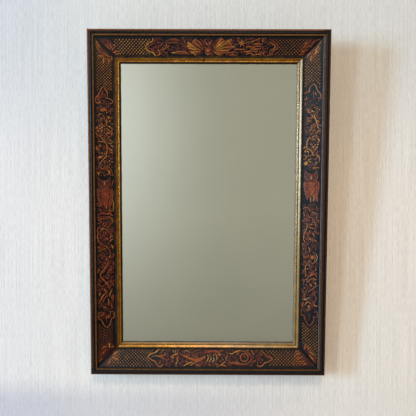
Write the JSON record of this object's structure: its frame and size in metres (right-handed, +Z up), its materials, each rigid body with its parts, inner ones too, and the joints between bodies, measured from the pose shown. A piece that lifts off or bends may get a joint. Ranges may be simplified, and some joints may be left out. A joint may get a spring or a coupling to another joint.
{
  "type": "wall mirror",
  "caption": "Rectangular wall mirror in a mitred moulded frame with a sloping decorated panel, a gilt inner slip and folding ring hangers on the back.",
  "frame": {"origin": "on the wall plane that the felt bumpers touch, behind the middle of the frame", "axes": "+Z up, +X to the viewer's right, +Y into the wall; the mirror faces -Y"},
  "size_m": [0.53, 0.043, 0.768],
  "materials": {
    "core_wood": "satin",
    "bare_wood": "matte",
    "lacquered_moulding": "semi-gloss",
    "painted_tin": "satin",
    "gilding": "satin",
    "silvered_glass": "polished",
    "paper": "matte",
    "zinced_steel": "satin",
    "hanger_brass": "satin",
    "felt": "matte"
  },
  "bodies": {
    "root": {"top_rail": "core_wood", "bottom_rail": "core_wood", "left_stile": "core_wood", "right_stile": "core_wood", "top_outer_moulding": "lacquered_moulding", "bottom_outer_moulding": "lacquered_moulding", "left_outer_moulding": "lacquered_moulding", "right_outer_moulding": "lacquered_moulding", "top_tin_panel": "painted_tin", "bottom_tin_panel": "painted_tin", "left_tin_panel": "painted_tin", "right_tin_panel": "painted_tin", "top_gilt_slip": "gilding", "bottom_gilt_slip": "gilding", "left_gilt_slip": "gilding", "right_gilt_slip": "gilding", "mitre_keys": "bare_wood", "mirror_glass": "silvered_glass", "paper_liner": "paper", "backboard": "bare_wood", "backboard_points": "zinced_steel", "left_hanger_strap": "hanger_brass", "right_hanger_strap": "hanger_brass", "hanger_screws": "zinced_steel", "left_bumper": "felt", "right_bumper": "felt"},
    "left_ring": {"left_hanger_ring": "hanger_brass"},
    "right_ring": {"right_hanger_ring": "hanger_brass"}
  },
  "joints": [
    {"name": "left_ring_fold", "type": "hinge", "parent": "root", "child": "left_ring", "pos_m": [-0.238, -0.00267, 0.194], "axis": [-1, 0, 0], "range_deg": [0, 176]},
    {"name": "right_ring_fold", "type": "hinge", "parent": "root", "child": "right_ring", "pos_m": [0.238, -0.00267, 0.194], "axis": [-1, 0, 0], "range_deg": [0, 176]}
  ]
}
